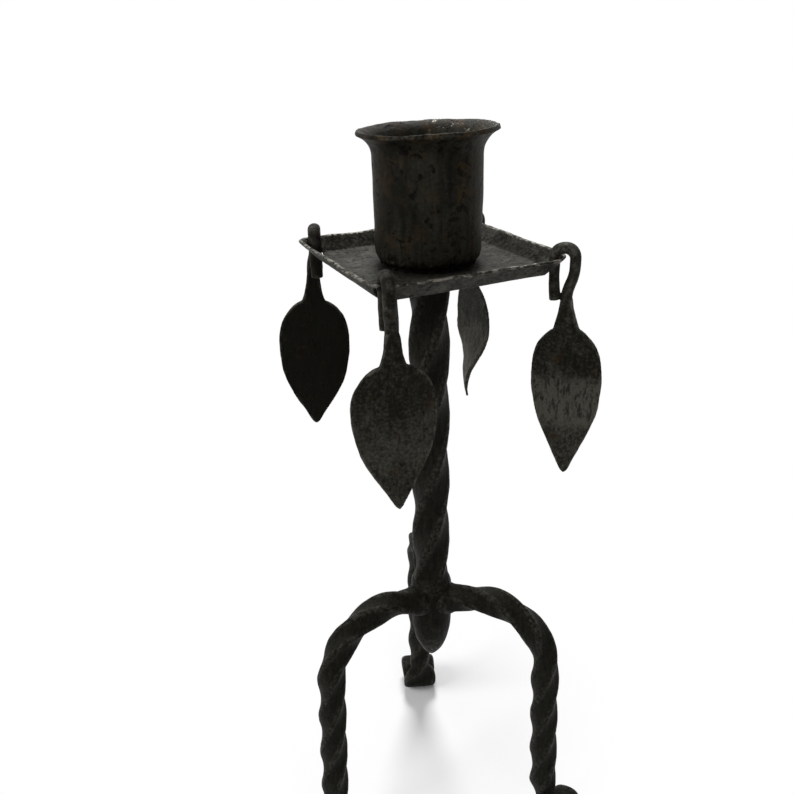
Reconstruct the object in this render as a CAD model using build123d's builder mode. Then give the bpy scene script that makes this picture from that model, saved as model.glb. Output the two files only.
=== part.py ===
"""A forged iron candle stand: three twisted legs, a twisted stem, a folded drip tray and a flared cup.

Millimetres, +Z up. The origin is on the stem's axis, on the surface that the feet stand on.
One leg points along +Y, and the other two stand at the front.
"""

import math
import os

from build123d import *

os.makedirs("parts", exist_ok=True)

# Stem: one square bar, twisted hot, with a swollen root that the legs are welded to
stem_side_length = 12.0
stem_arris_radius = 2.5  # rounding of the bar's four corners
stem_turn_height = 106.4  # height of one full turn
stem_root_angle = 4.0  # degrees
stem_sections = 30
root_radius = 8.2
root_height = 97.0  # lower end of the straight part of the root
root_length = 14.0
root_shoulder_height = 9.0  # height over which the root narrows into the bar
root_end_share = 0.45  # of the bar's side
point_length = 23.0
point_radius = 1.2
tenon_radius = 3.5
head_radius = 6.0  # tenon end, hammered over inside the cup
head_height = 2.2

# Legs: square bars, twisted, bent over and rolled into scroll feet
leg_names_and_azimuths = {"leg_back": 90, "leg_front_left": 210, "leg_front_right": 330}
leg_side_length = 9.0
leg_arris_radius = 1.7
leg_turn_length = 74.8
leg_sections = 44
leg_root_radius = 4.0  # start of the bar's centre line, inside the stem's root
leg_root_height = 104.3
leg_rise_angle = 16.6  # degrees
leg_run_length = 14.6
leg_bend_radius = 24.2
leg_splay_angle = 2.2  # degrees
foot_width = 17.0
foot_strip_thickness = 4.0  # thickness of the bar's flattened end
foot_edge_radius = 1.2
foot_flare_length = 12.0  # length over which the bar flattens
foot_shank_length = 1.0  # flat stretch above the scroll
scroll_radius = 6.5  # to the middle of the strip
curl_radius = 4.2
curl_angle = 165  # degrees
foot_wear_depth = 0.3  # depth of the flat worn under each foot

# Drip tray: square sheet with its four sides folded up and a hook hole at each corner
tray_height = 244.0  # underside
tray_side_length = 71.5
tray_floor_side_length = 60.5
tray_rim_height = 6.0
tray_sheet_thickness = 1.2
tray_turn_angle = -24.8  # degrees, azimuth of the right corner
tray_corner_radius = 10.0
tray_floor_corner_radius = 4.5
tray_point_radius = 5.0  # the left corner is left more pointed
tray_floor_point_radius = 2.0
hook_hole_radius = 3.0
hook_hole_inset_length = 8.26  # from the corner of the unrounded square
tenon_clearance = 0.1

# Candle cup: spun sheet with a rounded bottom and a flared lip
cup_radius = 18.0  # outside
cup_wall_thickness = 1.4
cup_height = 42.4  # to the outer edge of the lip
cup_bottom_radius = 5.5
cup_flare_width = 5.2
cup_flare_height = 7.4

# Leaf pendants: one bar each, with a flattened hook, a flared neck and a beaten blade
hook_bar_width = 4.4  # along the hook's axis
hook_bar_thickness = 3.6
hook_clearance = 0.75
hook_drop_length = 13.5  # from the hook's pivot to the top of the neck
hook_bend_height = 11.0  # height over which the bar comes back under its pivot
hook_tip_length = 13.8  # from the hook's pivot to its tip
hook_tip_lean_width = 0.8  # how far the tip leans towards the outer strand
rib_length = 11.0  # taper of the bar into the blade
rib_radius = 1.5  # at its upper end, inside the bar
rib_end_radius = 0.5
neck_length = 10.5
shoulder_half_width = 4.3
blade_width = 27.0
blade_length = 51.0
blade_thickness = 1.8
blade_tip_radius = 1.6
neck_half_width_share = 0.47  # of the hook's bar
tip_thickness_share = 0.45
bow_place_share = 0.42
curl_place_share = 0.72
# Half width and distance from the shoulder, down one edge of a blade
leaf_outline_shares = [
    (0.60, 0.040),
    (0.86, 0.130),
    (0.985, 0.250),
    (0.99, 0.400),
    (0.845, 0.600),
    (0.50, 0.790),
]
# Tray corner, yaw of the hook, twist and lean of the blade in degrees, then shares of the hook's drop, the
# blade's width and its length, and of that length the blade's bow, curl and kick and the neck's two shifts
leaf_shares = {
    "leaf_front": (-90, 32, 90, 0.3, 1.00, 1.01, 0.955, -0.024, 0.006, 0.063, 0.014, 0.020),
    "leaf_right": (0, 0, 0, 3.0, 1.00, 0.88, 1.025, -0.020, 0.006, 0.059, 0.023, 0),
    "leaf_back": (90, -45, 90, 0, 1.00, 0.88, 0.975, 0.012, -0.060, -0.055, 0.012, 0),
    "leaf_left": (180, -64, 90, 2.5, 0.86, 0.98, 1.02, -0.020, 0.006, 0.059, 0.012, 0.027),
}

rim_height = tray_height + tray_rim_height
fold_slope = 2 * tray_rim_height / (tray_side_length - tray_floor_side_length)
hook_hole_distance = tray_side_length / math.sqrt(2) - hook_hole_inset_length  # from the stem's axis
rim_lip_width = tray_sheet_thickness / math.sin(math.atan(fold_slope))
cup_floor = tray_height + tray_sheet_thickness
head_seat = cup_floor + cup_wall_thickness


def polar(reach, azimuth, height):
    """A point at a distance from the stem's axis."""
    return Vector(reach * math.cos(math.radians(azimuth)), reach * math.sin(math.radians(azimuth)), height)


def upright(origin, azimuth):
    """An upright plane whose X points along an azimuth and whose Y points up."""
    return Plane(origin, x_dir=polar(1, azimuth, 0), z_dir=polar(1, azimuth - 90, 0))


def turned(plane, direction, angle):
    """A plane turned about a direction through its origin."""
    axis = Axis((0, 0, 0), direction)
    return Plane(plane.origin, x_dir=plane.x_dir.rotate(axis, angle), z_dir=plane.z_dir.rotate(axis, angle))


# The stem, from its forged point to the tenon's hammered head
with BuildPart() as stem:
    tip_height = root_height - point_length
    shoulder_height = root_height + root_length
    with BuildSketch(Plane.XZ):
        with BuildLine():
            ogive = Spline(
                (point_radius, tip_height), (root_radius, root_height), tangents=((1, 1), (0, 1))
            )
            side = Line(ogive @ 1, (root_radius, shoulder_height))
            shoulder = Spline(
                side @ 1,
                (stem_side_length * root_end_share, shoulder_height + root_shoulder_height),
                tangents=((0, 1), (0, 1)),
            )
            Polyline(shoulder @ 1, (0, shoulder_height + root_shoulder_height), (0, tip_height), ogive @ 0)
        make_face()
    revolve(axis=Axis.Z)
    twisted_length = tray_height - root_height
    for step in range(stem_sections + 1):
        rise = twisted_length * step / stem_sections
        turn = stem_root_angle + 360 * rise / stem_turn_height
        with BuildSketch(Plane.XY.offset(root_height + rise).rotated((0, 0, turn))):
            RectangleRounded(stem_side_length, stem_side_length, stem_arris_radius)
    loft()
    with BuildSketch(Plane.XZ):
        with BuildLine():
            dome = TangentArc((0, head_seat + head_height), (head_radius, head_seat), tangent=(1, 0))
            Polyline(
                dome @ 1,
                (tenon_radius, head_seat),
                (tenon_radius, tray_height - tenon_radius),
                (0, tray_height - tenon_radius),
                dome @ 0,
            )
        make_face()
    revolve(axis=Axis.Z)
stem.part.label = "stem"
export_step(stem.part, "parts/stem.step")

# The three legs
for name, azimuth in leg_names_and_azimuths.items():
    leg_plane = upright((0, 0, 0), azimuth)
    splay_sine = math.sin(math.radians(leg_splay_angle))
    splay_cosine = math.cos(math.radians(leg_splay_angle))
    scroll_top = scroll_radius * (1 - splay_sine) + foot_strip_thickness / 2 - foot_wear_depth
    strip_top = scroll_top + foot_shank_length * splay_cosine
    with BuildLine(leg_plane) as bar_line:
        run = PolarLine((leg_root_radius, leg_root_height), leg_run_length, leg_rise_angle)
        bend = JernArc(run @ 1, run % 1, leg_bend_radius, leg_splay_angle - leg_rise_angle - 90)
        shank = PolarLine(bend @ 1, ((bend @ 1).Z - strip_top) / splay_cosine, leg_splay_angle - 90)
    with BuildLine(leg_plane) as foot_line:
        strip = PolarLine(shank @ 1, foot_shank_length, leg_splay_angle - 90)
        scroll = JernArc(strip @ 1, strip % 1, scroll_radius, 180)
        curl = JernArc(scroll @ 1, scroll % 1, curl_radius, curl_angle)
    bar = bar_line.wire()
    with BuildPart() as leg:
        for step in range(leg_sections + 1):
            along = step / leg_sections
            left = (1 - along) * bar.length
            flat = max(0, 1 - left / foot_flare_length)
            flat = flat * flat * (3 - 2 * flat)
            station = Plane(bar @ along, x_dir=leg_plane.z_dir, z_dir=bar % along)
            with BuildSketch(turned(station, bar % along, -360 * left / leg_turn_length)):
                RectangleRounded(
                    leg_side_length + flat * (foot_width - leg_side_length),
                    leg_side_length + flat * (foot_strip_thickness - leg_side_length),
                    leg_arris_radius + flat * (foot_edge_radius - leg_arris_radius),
                )
        loft()
        with BuildSketch(Plane(strip @ 0, x_dir=leg_plane.z_dir, z_dir=strip % 0)):
            RectangleRounded(foot_width, foot_strip_thickness, foot_edge_radius)
        sweep(path=foot_line.wire())
        split(bisect_by=Plane.XY, keep=Keep.TOP)
        add(stem.part, mode=Mode.SUBTRACT)
    leg.part.label = name
    export_step(leg.part, f"parts/{name}.step")


def tray_outline(side, corner_radius, point_radius):
    """A square with rounded corners, of which the left one is more pointed."""
    with BuildSketch(mode=Mode.PRIVATE) as outline:
        Rectangle(side, side)
        point, *corners = outline.vertices().sort_by_distance((-side, -side))
        fillet(point, point_radius)
        for corner in corners:
            fillet(outline.vertices().sort_by_distance(corner)[0], corner_radius)
    return outline.sketch


# The drip tray
tray_plane = Plane.XY.rotated((0, 0, tray_turn_angle - 45))
hook_azimuths = [tray_turn_angle + quarter * 90 for quarter in range(4)]
with BuildPart() as tray:
    with BuildSketch(tray_plane.offset(tray_height)):
        add(tray_outline(tray_floor_side_length, tray_floor_corner_radius, tray_floor_point_radius))
    with BuildSketch(tray_plane.offset(rim_height)):
        add(tray_outline(tray_side_length, tray_corner_radius, tray_point_radius))
    loft(ruled=True)
    inner_floor_side = tray_floor_side_length + 2 * (tray_sheet_thickness / fold_slope - rim_lip_width)
    with BuildSketch(tray_plane.offset(cup_floor)):
        add(tray_outline(inner_floor_side, tray_floor_corner_radius, tray_floor_point_radius))
    with BuildSketch(tray_plane.offset(rim_height)):
        inner_side = tray_side_length - 2 * rim_lip_width
        add(tray_outline(inner_side, tray_corner_radius - rim_lip_width, tray_point_radius - rim_lip_width))
    loft(ruled=True, mode=Mode.SUBTRACT)
    with Locations(*[polar(hook_hole_distance, azimuth, rim_height) for azimuth in hook_azimuths]):
        Hole(hook_hole_radius)
    with Locations((0, 0, rim_height)):
        Hole(tenon_radius + tenon_clearance)
tray.part.label = "drip_tray"
export_step(tray.part, "parts/drip_tray.step")

# The candle cup
with BuildPart() as cup:
    lip_height = cup_floor + cup_height
    flare_radius = (cup_flare_width**2 + cup_flare_height**2) / (2 * cup_flare_width)
    flare_angle = math.degrees(math.asin(cup_flare_height / flare_radius))
    with BuildSketch(Plane.XZ):
        with BuildLine():
            bottom = Line(
                (tenon_radius + tenon_clearance, cup_floor), (cup_radius - cup_bottom_radius, cup_floor)
            )
            corner = JernArc(bottom @ 1, bottom % 1, cup_bottom_radius, 90)
            wall = Line(corner @ 1, (cup_radius, lip_height - cup_flare_height))
            flare = JernArc(wall @ 1, wall % 1, flare_radius, -flare_angle)
            offset(amount=cup_wall_thickness, side=Side.LEFT)
        make_face()
    revolve(axis=Axis.Z)
cup.part.label = "candle_cup"
export_step(cup.part, "parts/candle_cup.step")


def rim_reach(corner_radius, yaw):
    """Distance from a hook hole's centre to the tray's rim, at an angle from the corner's diagonal."""
    half_side = tray_side_length / 2
    arc_centre = (half_side - corner_radius) * math.sqrt(2)
    ahead = hook_hole_distance - arc_centre
    angle = math.radians(abs(yaw))
    to_arc = math.sqrt(corner_radius**2 - (ahead * math.sin(angle)) ** 2) - ahead * math.cos(angle)
    round_end = math.atan2(to_arc * math.sin(angle), ahead + to_arc * math.cos(angle))
    to_edge = (half_side - hook_hole_distance * math.sqrt(0.5)) / math.cos(math.radians(45) - angle)
    return to_arc if round_end < math.radians(45) else to_edge


# The four leaves, each hanging by its hook from the web between a hole and the rim
for name, shares in leaf_shares.items():
    corner, yaw, twist, lean = shares[:4]
    drop_share, width_share, length_share = shares[4:7]
    bow_share, curl_share, kick_share, shift_share, sway_share = shares[7:]
    drop = hook_drop_length * drop_share
    half_width = blade_width * width_share / 2
    length = blade_length * length_share
    bow = length * bow_share
    curl_out = length * curl_share
    kick = length * kick_share
    shift = length * shift_share
    sway = length * sway_share
    corner_radius = tray_point_radius if corner == 180 else tray_corner_radius
    web = rim_reach(corner_radius, yaw) - hook_hole_radius
    facing = tray_turn_angle + corner + yaw
    hole = polar(hook_hole_distance, tray_turn_angle + corner, 0)
    pivot = hole + polar(hook_hole_radius + web / 2, facing, rim_height - fold_slope * web / 2)
    eye = web / 2 * math.hypot(1, fold_slope) + hook_clearance
    arm = eye + hook_bar_thickness / 2
    hook_plane = upright(pivot, facing)
    bend_middle = hook_plane.from_local_coords(((arm + shift) / 2, hook_bend_height / 2 - drop, -sway / 2))
    neck_top = hook_plane.from_local_coords((shift, -drop, -sway))
    with BuildLine(hook_plane) as hook_line:
        tip_end = (hook_tip_lean_width - arm, -hook_tip_length * drop_share)
        tip = TangentArc((-arm, 0), tip_end, tangent=-hook_plane.y_dir)
        crown = JernArc((-arm, 0), hook_plane.y_dir, arm, -180)
        strand = Line(crown @ 1, (arm, hook_bend_height - drop))
        inward = TangentArc(strand @ 1, bend_middle, tangent=strand % 1)
        TangentArc(inward @ 1, neck_top, tangent=inward % 1)
    blade_normal = polar(1, facing + twist - 90, 0)
    across, through = (hook_bar_width, hook_bar_thickness) if twist else (hook_bar_thickness, hook_bar_width)
    neck_half = across * neck_half_width_share
    neck_depth = through * neck_half_width_share
    blade_half = blade_thickness / 2
    tip_half = blade_half * tip_thickness_share
    bow_drop = neck_length + bow_place_share * length
    curl_drop = neck_length + curl_place_share * length
    leaf_drop = neck_length + length
    with BuildPart() as leaf:
        with BuildSketch(turned(upright(neck_top, facing + twist), blade_normal, lean)):
            with BuildLine():
                end = Line((0, 0), (neck_half, 0))
                flare = Spline(end @ 1, (shoulder_half_width, -neck_length), tangents=((0.15, -1), (0.4, -1)))
                rounds = [
                    (out * half_width, -neck_length - along * length)
                    for out, along in leaf_outline_shares
                ]
                edge = Spline(flare @ 1, *rounds, (blade_tip_radius, blade_tip_radius - leaf_drop))
                TangentArc(edge @ 1, (0, -leaf_drop), tangent=edge % 1)
                mirror(about=Plane.YZ)
            make_face()
        extrude(amount=length, both=True)
        with BuildSketch(turned(upright(neck_top, facing + twist - 90), blade_normal, lean)):
            with BuildLine():
                front = Spline(
                    (neck_depth, 0),
                    (blade_half, -neck_length),
                    (bow + blade_half, -bow_drop),
                    (curl_out + blade_half, -curl_drop),
                    (kick + tip_half, -leaf_drop),
                )
                rear = Spline(
                    (-neck_depth, 0),
                    (-blade_half, -neck_length),
                    (bow - blade_half, -bow_drop),
                    (curl_out - blade_half, -curl_drop),
                    (kick - tip_half, -leaf_drop),
                )
                Line(front @ 0, rear @ 0)
                Line(front @ 1, rear @ 1)
            make_face()
        extrude(amount=length, both=True, mode=Mode.INTERSECT)
        with BuildSketch(Plane(tip @ 1, x_dir=hook_plane.z_dir, z_dir=tip % 1)):
            Ellipse(hook_bar_width / 2, hook_bar_thickness / 2)
        sweep(path=hook_line.wire())
        with Locations(neck_top):
            hang_down = (Align.CENTER, Align.CENTER, Align.MAX)
            Cone(rib_end_radius, rib_radius, rib_length, align=hang_down)
    leaf.part.label = name
    export_step(leaf.part, f"parts/{name}.step")
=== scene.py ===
"""A forged iron candle stand: twisted bars, a worn drip tray, a sooty cup and four hanging leaves."""

import math

import bpy
import numpy as np
from mathutils import Matrix, Vector


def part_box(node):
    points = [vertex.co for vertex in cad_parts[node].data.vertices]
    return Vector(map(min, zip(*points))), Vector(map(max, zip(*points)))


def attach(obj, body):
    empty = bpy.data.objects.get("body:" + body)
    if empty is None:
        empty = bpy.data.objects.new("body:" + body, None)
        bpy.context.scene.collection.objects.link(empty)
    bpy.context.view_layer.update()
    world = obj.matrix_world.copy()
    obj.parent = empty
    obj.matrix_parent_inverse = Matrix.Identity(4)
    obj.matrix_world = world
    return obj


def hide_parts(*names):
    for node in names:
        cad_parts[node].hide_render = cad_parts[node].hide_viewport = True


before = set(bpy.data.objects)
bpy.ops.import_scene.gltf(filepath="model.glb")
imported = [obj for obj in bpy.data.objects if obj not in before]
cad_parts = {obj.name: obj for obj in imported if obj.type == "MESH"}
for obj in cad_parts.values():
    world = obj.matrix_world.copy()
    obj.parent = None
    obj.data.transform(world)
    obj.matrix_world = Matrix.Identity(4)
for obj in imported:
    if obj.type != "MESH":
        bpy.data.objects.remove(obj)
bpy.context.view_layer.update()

# The stem is one square iron bar, twisted while hot, with a swollen root and a point drawn out below it.
# It keeps the black scale of the forge, rubbed to grey along the twisted corners and brown where
# damp got in. Painted shade darkens the hollows of its twist, and a painted shadow darkens it
# just under the tray.


def take_shape(node):
    """Starts a piece from a node's own shape, with its loose triangles merged."""
    bpy.ops.object.select_all(action="DESELECT")
    piece = bpy.data.objects.new(node + "_forged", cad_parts[node].data.copy())
    piece.data.materials.clear()
    bpy.context.scene.collection.objects.link(piece)
    bpy.context.view_layer.objects.active = piece
    piece.select_set(True)
    bpy.ops.object.mode_set(mode="EDIT")
    bpy.ops.mesh.select_all(action="SELECT")
    bpy.ops.mesh.remove_doubles(threshold=1e-6)
    bpy.ops.object.mode_set(mode="OBJECT")
    return piece


def apply_all(piece):
    """Applies a piece's modifiers in their order."""
    for modifier in list(piece.modifiers):
        bpy.ops.object.modifier_apply(modifier=modifier.name)


def even_out(piece, cell):
    """Gives a piece one closed skin of even, small faces."""
    even = piece.modifiers.new("even", "REMESH")
    even.mode = "VOXEL"
    even.voxel_size = cell
    apply_all(piece)
    bpy.ops.object.shade_smooth()


def soften(piece, passes, group=""):
    """Rounds a piece's corners, or those of one group of its points."""
    rounding = piece.modifiers.new("rounding", "SMOOTH")
    rounding.iterations = passes
    rounding.vertex_group = group
    apply_all(piece)


def beat(piece, size, depth, direction="NORMAL", group=""):
    """Beats marks of one size and depth into a piece, or into one group of its points."""
    hammer = bpy.data.textures.new("hammer", "CLOUDS")
    hammer.noise_scale = size
    hammer.noise_depth = 1
    marks = piece.modifiers.new("marks", "DISPLACE")
    marks.texture = hammer
    marks.texture_coords = "LOCAL"
    marks.direction = direction
    marks.strength = depth
    marks.vertex_group = group
    apply_all(piece)


def keep_ridges(piece, reach):
    """Keeps how far each point stands proud of its surroundings, in millimetres, to place wear."""
    mesh = piece.data
    points = np.empty(len(mesh.vertices) * 3)
    normals = np.empty(len(mesh.vertices) * 3)
    ends = np.empty(len(mesh.edges) * 2, dtype=np.int32)
    mesh.vertices.foreach_get("co", points)
    mesh.vertices.foreach_get("normal", normals)
    mesh.edges.foreach_get("vertices", ends)
    points = points.reshape(-1, 3)
    first, second = ends.reshape(-1, 2).T
    near = np.concatenate([first, second])
    far = np.concatenate([second, first])
    neighbours = np.bincount(near, minlength=len(points))
    level = points.copy()
    for _ in range(reach):
        for axis in range(3):
            level[:, axis] = np.bincount(near, level[far, axis], len(points)) / neighbours
    proud = ((points - level) * normals.reshape(-1, 3)).sum(1) * 1000
    ridge = mesh.attributes.new("ridge", "FLOAT", "POINT")
    ridge.data.foreach_set("value", proud.astype(np.float32))


class Shade:
    """A value in a finish. Sums and products of values add Math nodes."""

    def __init__(self, tree, socket=None):
        self.tree = tree
        self.socket = socket

    def node(self, kind, sockets, output=0, **settings):
        """Adds a node of any kind: its settings first, then the values or links of its sockets."""
        made = self.tree.nodes.new("ShaderNode" + kind)
        for setting, value in settings.items():
            setattr(made, setting, value)
        for socket, value in sockets.items():
            if isinstance(value, Shade):
                self.tree.links.new(value.socket, made.inputs[socket])
            else:
                made.inputs[socket].default_value = value
        return Shade(self.tree, made.outputs[output] if made.outputs else None)

    def math(self, operation, first, second):
        """One step of arithmetic on two values."""
        return self.node("Math", {0: first, 1: second}, operation=operation)

    def __add__(self, other):
        return self.math("ADD", self, other)

    def __radd__(self, other):
        return self.math("ADD", other, self)

    def __sub__(self, other):
        return self.math("SUBTRACT", self, other)

    def __rsub__(self, other):
        return self.math("SUBTRACT", other, self)

    def __mul__(self, other):
        return self.math("MULTIPLY", self, other)

    def __rmul__(self, other):
        return self.math("MULTIPLY", other, self)

    def between(self, low, high):
        """0 below low, 1 above high and a smooth step between them."""
        limits = {"Value": self, "From Min": low, "From Max": high}
        return self.node("MapRange", limits, interpolation_type="SMOOTHSTEP")

    def along(self, axis):
        """A vector's part along one axis."""
        return self.node("SeparateXYZ", {"Vector": self}, output=axis)

    def stretched(self, scale):
        """A vector drawn out along some axes."""
        return self.node("Mapping", {"Vector": self, "Scale": scale})

    def noise(self, scale, detail=3.0, roughness=0.55, distortion=0.0):
        """Soft noise at a vector, with a number of patches to the metre."""
        settings = {"Vector": self, "Scale": scale, "Detail": detail}
        return self.node("TexNoise", {**settings, "Roughness": roughness, "Distortion": distortion})

    def tint(self, low, high):
        """The colour that a value picks: one at 0, another at 1."""
        return self.node("Mix", {0: self, 6: low, 7: high}, output=2, data_type="RGBA")

    def cover(self, colour, mask):
        """A colour with another one laid over it."""
        return mask.tint(self, colour)


def new_finish(name):
    """An empty finish, and the place on the piece at which it is read."""
    finish = bpy.data.materials.new(name)
    finish.use_nodes = True
    finish.node_tree.nodes.clear()
    shade = Shade(finish.node_tree)
    return finish, shade, shade.node("TexCoord", {}, output="Object")


def kept_ridge(shade):
    """What keep_ridges kept at a point of the piece."""
    return shade.node("Attribute", {}, output="Fac", attribute_name="ridge")


def close_finish(shade, colour, roughness, metal, relief, depth):
    """Joins a finish's colour, gloss and relief in one surface."""
    bump = shade.node("Bump", {"Height": relief, "Distance": depth})
    sockets = {"Base Color": colour, "Roughness": roughness, "Metallic": metal, "Normal": bump}
    surface = shade.node("BsdfPrincipled", {**sockets, "Specular IOR Level": 0.03})
    shade.node("OutputMaterial", {"Surface": surface})


bar_black = (0.0038, 0.0036, 0.0026, 1)
bar_grey = (0.0160, 0.0156, 0.0120, 1)
bar_rubbed = (0.056, 0.054, 0.045, 1)
bar_rust = (0.024, 0.014, 0.007, 1)
# Near black, for dark pits and for painted shade in the twist's hollows and under the tray.
bar_soot_and_shade = (0.0018, 0.0016, 0.0011, 1)
# Heights over which the painted shadow under the tray comes in.
painted_shadow_start_height = 0.212
painted_shadow_full_height = 0.238

forged_bar, shade, place = new_finish("forged_bar")
ridge = kept_ridge(shade)
height = place.along("Z")
patches = place.noise(120, 4, 0.6)
grit = place.noise(1100, 4, 0.7)
fibre = place.stretched((1, 1, 0.18)).noise(800, 3, 0.6)
pits = place.noise(520, 3, 0.6).between(0.62, 0.70)
rubbed = ridge.between(0.20, 0.50) * place.noise(700, 4, 0.7).between(0.40, 0.66)
# Painted shade: the hollows of the twist are darkened.
painted_hollow_shade = (0 - ridge).between(0.04, 0.30)
rust = place.noise(150, 5, 0.7).between(0.60, 0.74) * grit.between(0.42, 0.60)
# Painted shadow: the stem is darkened just under the tray.
painted_shade = height.between(painted_shadow_start_height, painted_shadow_full_height)
tone = (0.9 * grit + 0.15 * patches + 0.9 * fibre - 0.47).between(0.22, 0.82)
colour = tone.tint(bar_black, bar_grey)
colour = colour.cover(bar_rubbed, rubbed * 0.45)
colour = colour.cover(bar_rust, rust * 0.5)
colour = colour.cover(bar_soot_and_shade, painted_hollow_shade * 0.6 + pits * 0.25)
colour = colour.cover(bar_soot_and_shade, painted_shade * 0.7)
roughness = 0.54 - 0.14 * rubbed + 0.14 * rust + 0.25 * (grit - 0.5)
relief = 0.6 * grit + 0.6 * fibre - 0.4 * pits + 0.15 * patches
close_finish(shade, colour, roughness, metal=0.1 + 0.4 * rubbed, relief=relief, depth=0.0005)

bar_blows = {"size": 0.009, "depth": 0.00045}
bar_dints = {"size": 0.0035, "depth": 0.00014}

stem = take_shape("stem")
even_out(stem, cell=0.00045)
soften(stem, passes=1)
beat(stem, **bar_blows)
beat(stem, **bar_dints)
keep_ridges(stem, reach=60)
stem.data.materials.append(forged_bar)
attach(stem, "stand")
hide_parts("stem")

# Each leg is a lighter square bar, twisted, bent over and rolled into a scroll to stand on.
# Its upper end is forge welded to the stem's root, which leaves a swelling round the weld.
weld_radius = 0.0068
weld_reach = 0.0062
weld_height = 0.1050
weld_zone_radius = 0.018
foot_height = 0.019
zone_fade = 0.004
scroll_middle = 0.0085
scroll_rounding = 0.22
scroll_fade = 0.7


def weigh(piece, name, share):
    """Groups a piece's points by a share, from none to all, that depends on their place."""
    group = piece.vertex_groups.new(name=name)
    for vertex in piece.data.vertices:
        weight = share(vertex.co)
        if weight > 0:
            group.add([vertex.index], min(weight, 1.0), "REPLACE")


for name, azimuth in (("leg_back", 90), ("leg_front_left", 210), ("leg_front_right", 330)):
    leg = take_shape(name)
    turn = math.radians(azimuth)
    bpy.ops.mesh.primitive_uv_sphere_add(
        segments=32,
        ring_count=16,
        radius=weld_radius,
        location=(weld_reach * math.cos(turn), weld_reach * math.sin(turn), weld_height),
    )
    bpy.ops.object.transform_apply(location=True, rotation=True, scale=True)
    leg.select_set(True)
    bpy.context.view_layer.objects.active = leg
    bpy.ops.object.join()
    even_out(leg, cell=0.00042)
    soften(leg, passes=1)
    weigh(leg, "weld", lambda point: (weld_zone_radius - point.xy.length) / zone_fade)
    soften(leg, passes=40, group="weld")
    weigh(leg, "foot", lambda point: (foot_height - point.z) / zone_fade)
    soften(leg, passes=80, group="foot")
    side = Vector((-math.sin(turn), math.cos(turn), 0))
    for vertex in leg.data.vertices:
        rise = abs(vertex.co.z - scroll_middle) / scroll_middle
        narrowing = rise**4 if rise < 1 else max(0, 1 - (rise - 1) / scroll_fade)
        vertex.co -= side * vertex.co.dot(side) * (scroll_rounding * narrowing)
    beat(leg, **bar_blows)
    beat(leg, **bar_dints)
    keep_ridges(leg, reach=50)
    leg.data.materials.append(forged_bar)
    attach(leg, "stand")
    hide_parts(name)

# The drip tray is a square of thin sheet with its sides folded up, pierced at each corner for a hook.
# Its floor is a mottled grey with soot and old wax round the cup, where painted contact shade also
# darkens it, and handling keeps its rim bright.
tray_low, tray_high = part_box("drip_tray")
rim_height = tray_high.z
bright_height = rim_height - 0.002
fold_height = tray_low.z + 0.0016

tray = take_shape("drip_tray")
even_out(tray, cell=0.00038)
soften(tray, passes=2)
weigh(tray, "rim", lambda point: (point.z - fold_height) / (rim_height - fold_height))
beat(tray, size=0.020, depth=0.0005)
beat(tray, size=0.004, depth=0.00008)
beat(tray, size=0.018, depth=0.0010, direction="Z", group="rim")
beat(tray, size=0.005, depth=0.0005, direction="Z", group="rim")
keep_ridges(tray, reach=24)

tray_dark = (0.0105, 0.0102, 0.0080, 1)
tray_grey = (0.086, 0.084, 0.070, 1)
tray_bright = (0.23, 0.215, 0.18, 1)
tray_rust = (0.060, 0.030, 0.015, 1)
# Near black, for dark specks and for soot with painted contact shade round the cup.
tray_soot_and_shade = (0.0035, 0.0031, 0.0022, 1)
soot_and_shade_radius = 0.0225
soot_and_shade_fade = 0.006

tray_sheet, shade, place = new_finish("tray_sheet")
ridge = kept_ridge(shade)
height = place.along("Z")
flat = shade.node("VectorMath", {0: place, 1: (1, 1, 0)}, operation="MULTIPLY")
from_axis = shade.node("VectorMath", {0: flat}, output="Value", operation="LENGTH")
clouds = place.noise(130, 5, 0.65, 0.4)
grit = place.noise(800, 5, 0.75)
specks = place.noise(420, 3, 0.6).between(0.58, 0.66)
edge = ridge.between(0.10, 0.30) * height.between(fold_height, bright_height)
worn = edge * place.noise(380, 4, 0.7).between(0.46, 0.58)
# Soot round the cup's foot, with painted contact shade there as well.
soot_and_contact_shade = (soot_and_shade_radius - from_axis + 0.012 * (clouds - 0.5)).between(0.0, soot_and_shade_fade)
rust = place.noise(95, 5, 0.7).between(0.56, 0.70) * grit.between(0.38, 0.62)
tone = (1.3 * grit + 0.8 * clouds - 0.55).between(0.28, 0.82)
colour = tone.tint(tray_dark, tray_grey)
colour = colour.cover(tray_rust, rust * 0.5)
colour = colour.cover(tray_soot_and_shade, soot_and_contact_shade * 0.8)
colour = colour.cover(tray_soot_and_shade, specks * 0.6)
colour = colour.cover(tray_bright, worn * 0.65)
roughness = 0.52 - 0.16 * worn + 0.1 * rust + 0.25 * (grit - 0.5)
relief = 0.5 * grit + 0.2 * clouds - 0.5 * specks
close_finish(shade, colour, roughness, metal=0.1 + 0.4 * worn, relief=relief, depth=0.00045)

tray.data.materials.append(tray_sheet)
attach(tray, "stand")
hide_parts("drip_tray")

# The candle cup is raised from sheet, with a rounded bottom and a lip that was beaten out by eye.
# It stands in a crust of hardened wax and soot that also carries painted contact shade, runs streak
# its sides, and candles have rubbed its lip bright, with a painted highlight at the lip's right and
# back.
cup_low, cup_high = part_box("candle_cup")
lip_height = cup_high.z
flare_height = lip_height - 0.0095
lip_slant = 0.03
crust_radius = 0.0137
crust_thickness = 0.0021
crust_inner_radius = 0.0125
crust_middle = cup_low.z + 0.0006
crust_height = cup_low.z + 0.0045
crust_fade = 0.003


def up_flare(point):
    """How far up the flare a point is: 0 where it starts, 1 at the lip."""
    return (point.z - flare_height) / (lip_height - flare_height)


def in_crust(point):
    """How far a point is down in the crust, outside the cup's foot."""
    return (crust_height - point.z) / crust_fade if point.xy.length > crust_inner_radius else 0


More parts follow.
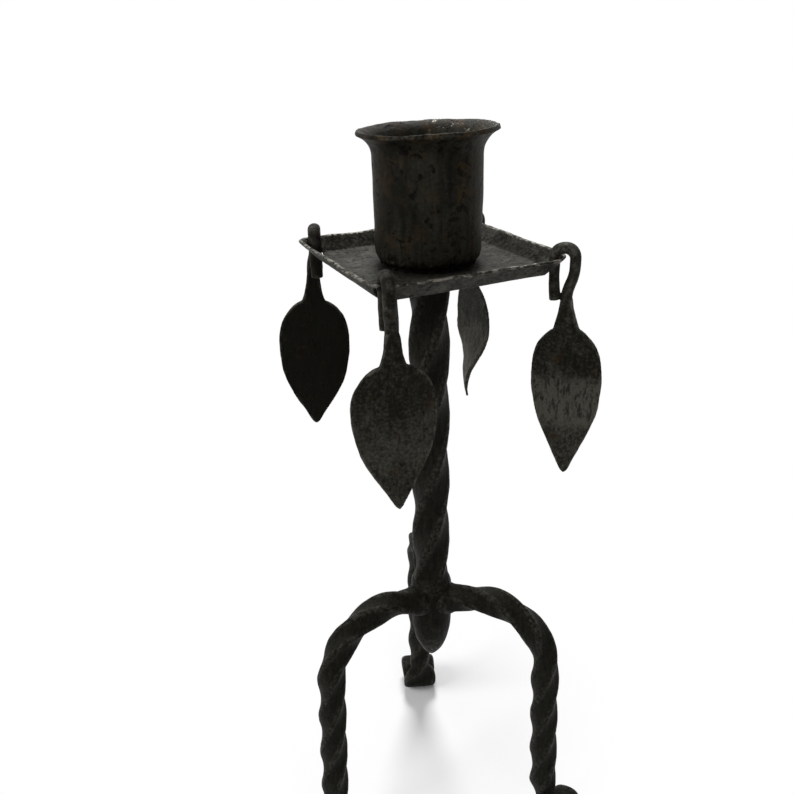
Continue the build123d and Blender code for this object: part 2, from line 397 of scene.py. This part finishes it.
cup = take_shape("candle_cup")
bpy.ops.mesh.primitive_torus_add(
    location=(0, 0, crust_middle),
    major_segments=96,
    minor_segments=12,
    major_radius=crust_radius,
    minor_radius=crust_thickness,
)
bpy.ops.object.transform_apply(location=True, rotation=True, scale=True)
bpy.ops.object.mode_set(mode="EDIT")
bpy.ops.mesh.select_all(action="SELECT")
bpy.ops.mesh.bisect(
    plane_co=(0, 0, cup_low.z),
    plane_no=(0, 0, 1),
    use_fill=True,
    clear_inner=True,
)
bpy.ops.object.mode_set(mode="OBJECT")
cup.select_set(True)
bpy.context.view_layer.objects.active = cup
bpy.ops.object.join()
even_out(cup, cell=0.0004)
soften(cup, passes=2)
weigh(cup, "lip", up_flare)
weigh(cup, "crust", in_crust)
for vertex in cup.data.vertices:
    vertex.co.z += lip_slant * vertex.co.x * max(0, up_flare(vertex.co))
beat(cup, size=0.014, depth=0.0006)
beat(cup, size=0.004, depth=0.00018)
beat(cup, size=0.026, depth=0.0007, direction="Z", group="lip")
beat(cup, size=0.006, depth=0.00025, group="lip")
beat(cup, size=0.0022, depth=0.0016, group="crust")
keep_ridges(cup, reach=24)

cup_black = (0.0058, 0.0055, 0.0038, 1)
cup_grey = (0.0340, 0.0330, 0.0255, 1)
# Bright, for wear on the lip and a painted highlight at its right and back.
cup_bright_and_glint = (0.42, 0.39, 0.32, 1)
cup_brown = (0.042, 0.026, 0.011, 1)
# Near black, for pits and for the crust with painted contact shade.
cup_pit_and_shade = (0.0020, 0.0016, 0.0010, 1)
strip_left = 0.0015
strip_right = 0.0150

cup_sheet, shade, place = new_finish("cup_sheet")
ridge = kept_ridge(shade)
height = place.along("Z")
rightward = place.along("X")
backward = place.along("Y")
streaks = place.stretched((1, 1, 0.08)).noise(380, 4, 0.6)
clouds = place.stretched((1, 1, 0.5)).noise(110, 5, 0.6, 0.3)
grit = place.noise(900, 5, 0.75)
pits = place.noise(330, 4, 0.6).between(0.57, 0.64) * clouds.between(0.44, 0.54)
lip = height.between(lip_height - 0.0045, lip_height - 0.0010)
# Wear and a painted highlight: the lip is made bright on its right and back.
struck_and_glint_side = (1.7 * rightward + backward).between(0.018, 0.034)
struck_and_glint = struck_and_glint_side * height.between(lip_height - 0.008, lip_height - 0.002)
rubbed = struck_and_glint * place.noise(420, 5, 0.75).between(0.56, 0.66)
edge = ridge.between(0.10, 0.35) * grit.between(0.48, 0.62)
brown = place.noise(150, 5, 0.7).between(0.46, 0.64)
# The crust and the cup's foot are darkened: wax and soot, with painted contact shade.
crust_and_contact_shade = (crust_height - height).between(0.0, crust_fade)
strip = rightward.between(strip_left, 0.0065) * (strip_right - rightward).between(0.0, 0.0045)
front_strip = strip * (0 - backward).between(0.0, 0.005)
strip_pits = place.noise(420, 4, 0.65).between(0.54, 0.60) * front_strip
# The cup's tone grows lighter towards its right side.
tone = 0.7 * grit + 0.7 * streaks + 0.7 * clouds + 9.0 * rightward - 0.60
colour = tone.between(0.22, 0.85).tint(cup_black, cup_grey)
colour = colour.cover(cup_brown, brown * (0.30 + 0.40 * lip + 0.35 * front_strip))
colour = colour.cover(cup_pit_and_shade, strip_pits * 0.8)
colour = colour.cover(cup_pit_and_shade, pits * 0.8 + 0.8 * crust_and_contact_shade)
colour = colour.cover(cup_bright_and_glint, rubbed * 0.6 + edge * 0.06)
roughness = 0.50 + 0.16 * (streaks - 0.5) - 0.15 * rubbed + 0.2 * (grit - 0.5)
relief = 0.5 * grit + 0.4 * streaks + 0.5 * clouds - 0.7 * pits
close_finish(shade, colour, roughness, metal=0.1 + 0.5 * rubbed, relief=relief, depth=0.00045)

cup.data.materials.append(cup_sheet)
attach(cup, "stand")
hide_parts("candle_cup")

# Each leaf is one bar, drawn out to a hook at one end and beaten into a blade at the other.
# The hooks hang loose in the tray's corners, and the back leaf's tip is bent round.
# The blades show a fine grain and a band of wear on the right one. Painted light makes each blade
# lighter low down, and painted shade darkens the left one.
leaf_dark = (0.0080, 0.0077, 0.0056, 1)
leaf_grey = (0.0720, 0.0695, 0.0570, 1)
leaf_rubbed = (0.110, 0.106, 0.090, 1)
leaf_rust = (0.042, 0.024, 0.011, 1)
# Near black, for pits and runs and for painted shade on the left leaf.
leaf_soot_and_shade = (0.0025, 0.0022, 0.0015, 1)
# Height under which painted light makes the blades lighter.
painted_light_height = 0.216
band_top_height = 0.213
band_bottom_height = 0.187

beaten_leaf, shade, place = new_finish("beaten_leaf")
ridge = kept_ridge(shade)
height = place.along("Z")
rightward = place.along("X")
backward = place.along("Y")
grain = place.stretched((1, 1, 0.12)).noise(900, 3, 0.6)
clouds = place.noise(110, 5, 0.65, 0.4)
grit = place.noise(1000, 5, 0.75)
# Painted light: each blade is made lighter low down.
painted_lower_light = (painted_light_height + 0.030 * (clouds - 0.5) - height).between(0.0, 0.030)
below_top = (band_top_height + 0.012 * (clouds - 0.5) - height).between(0.0, 0.008)
band = height.between(band_bottom_height, 0.196) * below_top
# Painted shade: the left leaf, to the left and back, is darkened.
painted_shade = (0 - rightward).between(0.015, 0.030) * backward.between(0.0, 0.015)
worn = band * (0.25 + 0.75 * rightward.between(0.018, 0.030)) * (1 - painted_shade)
runs = place.stretched((1, 1, 0.35)).noise(560, 5, 0.75).between(0.50, 0.58) * worn
rust = place.noise(160, 5, 0.7).between(0.56, 0.70)
pits = place.noise(450, 3, 0.6).between(0.60, 0.68)
rubbed = ridge.between(0.10, 0.40) * place.noise(300, 3).between(0.40, 0.62)
tone = 1.3 * grit + 0.4 * grain + 0.5 * clouds + 0.10 * painted_lower_light + 0.45 * worn - 0.30 * painted_shade - 0.75
colour = tone.between(0.20, 0.85).tint(leaf_dark, leaf_grey)
colour = colour.cover(leaf_rust, rust * 0.4)
colour = colour.cover(leaf_rubbed, rubbed * 0.4)
colour = colour.cover(leaf_soot_and_shade, pits * 0.4 + runs * 0.7 + painted_shade * 0.25)
roughness = 0.54 - 0.12 * rubbed + 0.25 * (grit - 0.5) + 0.1 * rust
relief = 0.5 * grit + 0.55 * grain + 0.5 * clouds - 0.4 * pits
close_finish(shade, colour, roughness, metal=0.1 + 0.35 * rubbed, relief=relief, depth=0.00045)

curl_top = 0.206
curl_height = 0.018
curl_axis = Vector((0.0215, 0.0398, 0))
curl_turn = math.radians(-24)
curl_shift = Vector((0.0018, 0.0007, 0))

for name in ("leaf_front", "leaf_right", "leaf_back", "leaf_left"):
    leaf = take_shape(name)
    even_out(leaf, cell=0.0003)
    soften(leaf, passes=2)
    if name == "leaf_back":
        for vertex in leaf.data.vertices:
            down = min(max((curl_top - vertex.co.z) / curl_height, 0), 1)
            curled = down * down * (3 - 2 * down)
            turn = Matrix.Rotation(curl_turn * curled, 3, "Z")
            vertex.co = curl_axis + turn @ (vertex.co - curl_axis) + curl_shift * curled
    beat(leaf, size=0.008, depth=0.00055)
    beat(leaf, size=0.003, depth=0.00016)
    keep_ridges(leaf, reach=30)
    leaf.data.materials.append(beaten_leaf)
    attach(leaf, name)
    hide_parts(name)

# The stand is shown on a plain white sweep, with a soft lamp to its left, one overhead and a weak one
# in front. The sweep stays white to the eye and keeps the grey shadows of the feet.
sweep_radius = 4
sweep_dull = (0.45, 0.45, 0.45, 1)
sweep_pale = (0.95, 0.95, 0.95, 1)
shadow_middle = (0, 0.042, 0)
shadow_radius = 0.105


def seen_rays(shade):
    """1 for rays that show something to the eye, straight, in a reflection or through glass."""
    straight = shade.node("LightPath", {}, output="Is Camera Ray")
    reflected = shade.node("LightPath", {}, output="Is Glossy Ray")
    return straight + reflected + shade.node("LightPath", {}, output="Is Transmission Ray")


bpy.ops.object.select_all(action="DESELECT")
bpy.ops.mesh.primitive_circle_add(vertices=128, radius=sweep_radius, fill_type="NGON")
sweep = bpy.context.active_object
sweep.name = "sweep"
bpy.ops.object.shade_flat()

white_sweep, shade, place = new_finish("white_sweep")
seen = seen_rays(shade)
offset = shade.node("VectorMath", {0: place, 1: shadow_middle}, operation="SUBTRACT")
distance = shade.node("VectorMath", {0: offset}, output="Value", operation="LENGTH")
lit = shade.node("BsdfDiffuse", {"Color": seen.tint(sweep_dull, sweep_pale)})
white = shade.node("Emission", {"Color": (1, 1, 1, 1), "Strength": 1})
share = distance.between(0.008, shadow_radius) * seen
shade.node("OutputMaterial", {"Surface": shade.node("MixShader", {0: share, 1: lit, 2: white})})
sweep.data.materials.append(white_sweep)

room = bpy.data.worlds.new("room")
room.use_nodes = True
room.node_tree.nodes.clear()
shade = Shade(room.node_tree)
seen = seen_rays(shade)
dim = shade.node("Background", {"Color": (1, 1, 1, 1), "Strength": 0.15})
white = shade.node("Background", {"Color": (1, 1, 1, 1), "Strength": 1})
shade.node("OutputWorld", {"Surface": shade.node("MixShader", {0: seen, 1: dim, 2: white})})
bpy.context.scene.world = room

lamp_aim = Vector((0, 0, 0.16))
side_lamp = {"spot": (-0.75, -0.20, 0.65), "size": 0.5, "power": 5.2}
top_lamp = {"spot": (0.05, 0.55, 0.90), "size": 0.3, "power": 7.0}
front_lamp = {"spot": (0.2, -0.95, 0.45), "size": 0.6, "power": 2.0}
for kind in (side_lamp, top_lamp, front_lamp):
    bpy.ops.object.light_add(type="AREA", location=kind["spot"])
    lamp = bpy.context.active_object
    lamp.rotation_euler = (Vector(kind["spot"]) - lamp_aim).to_track_quat("Z", "Y").to_euler()
    lamp.data.size = kind["size"]
    lamp.data.energy = kind["power"]

camera_spot = (-0.03184, -0.26217, 0.31585)
camera_heading = math.radians(-4.33)
camera_tilt = math.radians(65.359)
camera_roll = math.radians(-1.546)

bpy.ops.object.camera_add()
camera = bpy.context.active_object
camera.data.lens = 35.914
camera.data.sensor_width = 36
facing = Matrix.Rotation(camera_heading, 4, "Z") @ Matrix.Rotation(camera_tilt, 4, "X")
roll = Matrix.Rotation(camera_roll, 4, "Z")
camera.matrix_world = Matrix.Translation(camera_spot) @ facing @ roll
bpy.context.scene.camera = camera
bpy.context.scene.view_settings.view_transform = "Standard"
